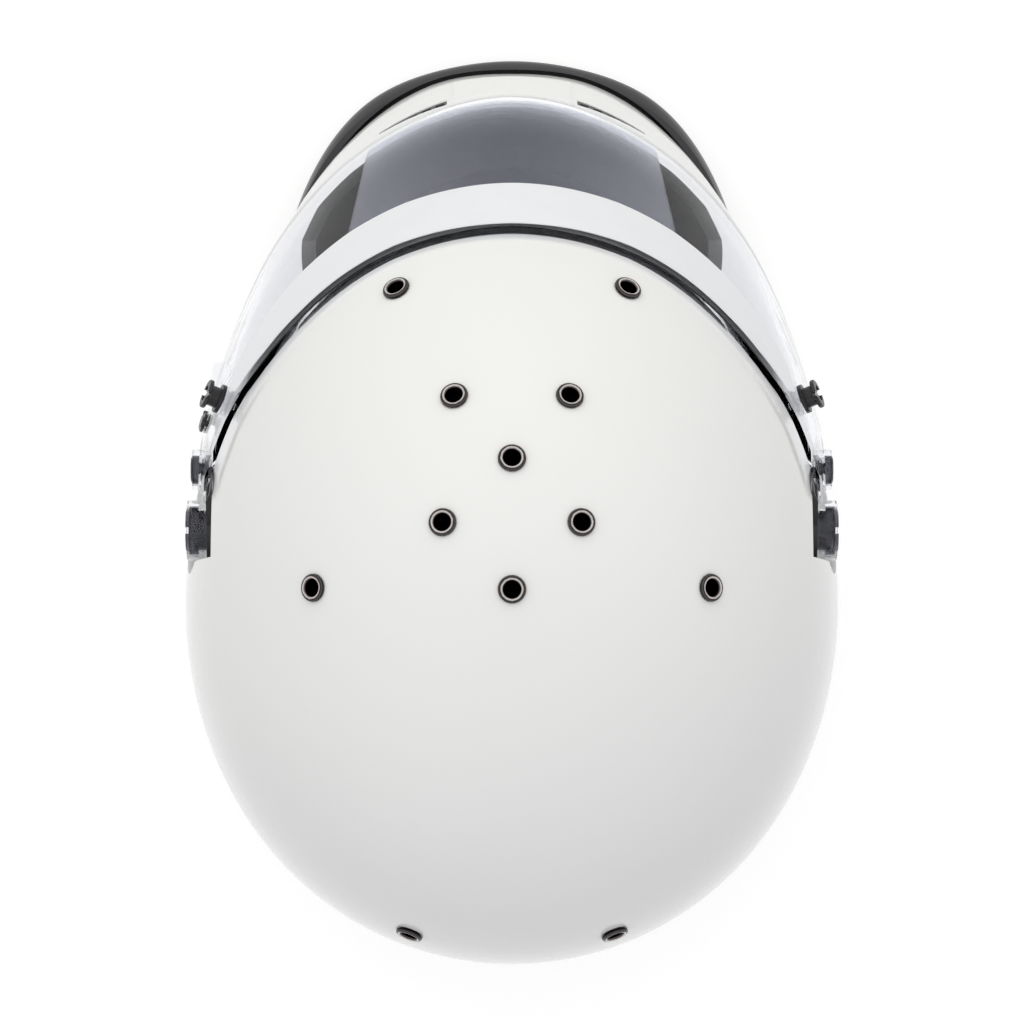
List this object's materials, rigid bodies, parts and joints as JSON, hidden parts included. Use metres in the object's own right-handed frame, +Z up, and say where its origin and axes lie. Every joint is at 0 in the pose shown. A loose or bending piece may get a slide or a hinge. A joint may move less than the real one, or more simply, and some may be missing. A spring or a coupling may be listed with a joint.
{
  "type": "auto racing helmet",
  "caption": "Full-face auto racing helmet: white shell with vent eyelets, clear lifting visor with sun strip, padded lining and chin strap.",
  "frame": {"origin": "middle of the base rim, on the surface the helmet rests on", "axes": "+Z up, the face looks toward -Y, the wearer's left is +X"},
  "size_m": [0.2496, 0.3517, 0.2637],
  "materials": {
    "shell_paint": "gloss white lacquer on a fibre composite shell",
    "black_rubber": "matt moulded rubber",
    "black_plastic": "satin moulded plastic",
    "lip_plastic": "gloss black moulded plastic",
    "gunmetal": "dark plated steel",
    "bright_steel": "plain steel",
    "brass_insert": "turned brass",
    "foam_shell": "moulded bead foam",
    "liner_fabric": "knitted fabric over foam",
    "strap_webbing": "woven polyester webbing",
    "clear_polycarbonate": "clear moulded polycarbonate",
    "lens_polycarbonate": "faintly grey-blue clear sheet",
    "strip_vinyl": "gloss white film"
  },
  "bodies": {
    "helmet": {"outer_shell": "shell_paint", "base_edge_trim": "black_rubber", "chin_lip": "lip_plastic", "eyeport_gasket": "black_rubber", "crown_vent_eyelets": "gunmetal", "rear_vent_eyelets": "gunmetal", "chin_vent_inserts": "black_plastic", "crown_impact_liner": "foam_shell", "chin_bar_impact_liner": "foam_shell", "crown_comfort_liner": "liner_fabric", "cheek_pad_left": "liner_fabric", "cheek_pad_right": "liner_fabric", "neck_roll": "liner_fabric", "visor_base_plate_left": "black_plastic", "visor_base_plate_right": "black_plastic", "visor_pivot_screw_left": "black_plastic", "visor_pivot_screw_right": "black_plastic", "visor_pivot_insert_left": "brass_insert", "visor_pivot_insert_right": "brass_insert", "visor_latch_catch": "black_plastic", "chin_strap_long": "strap_webbing", "chin_strap_short": "strap_webbing", "strap_rivets": "bright_steel", "strap_anchor_plates": "bright_steel"},
    "visor": {"visor_shield": "clear_polycarbonate", "visor_sun_strip": "strip_vinyl", "anti_fog_lens": "lens_polycarbonate", "visor_guide_screw_left": "black_plastic", "visor_guide_screw_right": "black_plastic", "tear_off_post_left": "black_plastic", "tear_off_post_right": "black_plastic", "tear_off_post_screws": "gunmetal", "visor_lift_tab": "clear_polycarbonate", "visor_latch_pin": "gunmetal"},
    "latch_lever": {"visor_latch_lever": "black_plastic"},
    "ring_outer": {"strap_ring_outer": "bright_steel"},
    "ring_inner": {"strap_ring_inner": "bright_steel"}
  },
  "joints": [
    {"name": "visor_open", "type": "hinge", "parent": "helmet", "child": "visor", "pos_m": [0, 0.01025, 0.15], "axis": [-1, 0, 0], "range_deg": [0, 46]},
    {"name": "latch_turn", "type": "hinge", "parent": "visor", "child": "latch_lever", "pos_m": [0.11712, -0.03075, 0.127], "axis": [0.951, -0.2934, 0.0973], "range_deg": [0, 40]},
    {"name": "ring_swing", "type": "hinge", "parent": "helmet", "child": "ring_outer", "pos_m": [-0.0782, 0.04625, 0.026], "axis": [0, 1, 0], "range_deg": [-35, 35]},
    {"name": "ring_inner_swing", "type": "hinge", "parent": "helmet", "child": "ring_inner", "pos_m": [-0.0738, 0.04625, 0.026], "axis": [0, 1, 0], "range_deg": [-35, 35]}
  ],
  "couplings": [
    {"joint": "ring_inner_swing", "follows": "ring_swing", "ratio": 1}
  ]
}
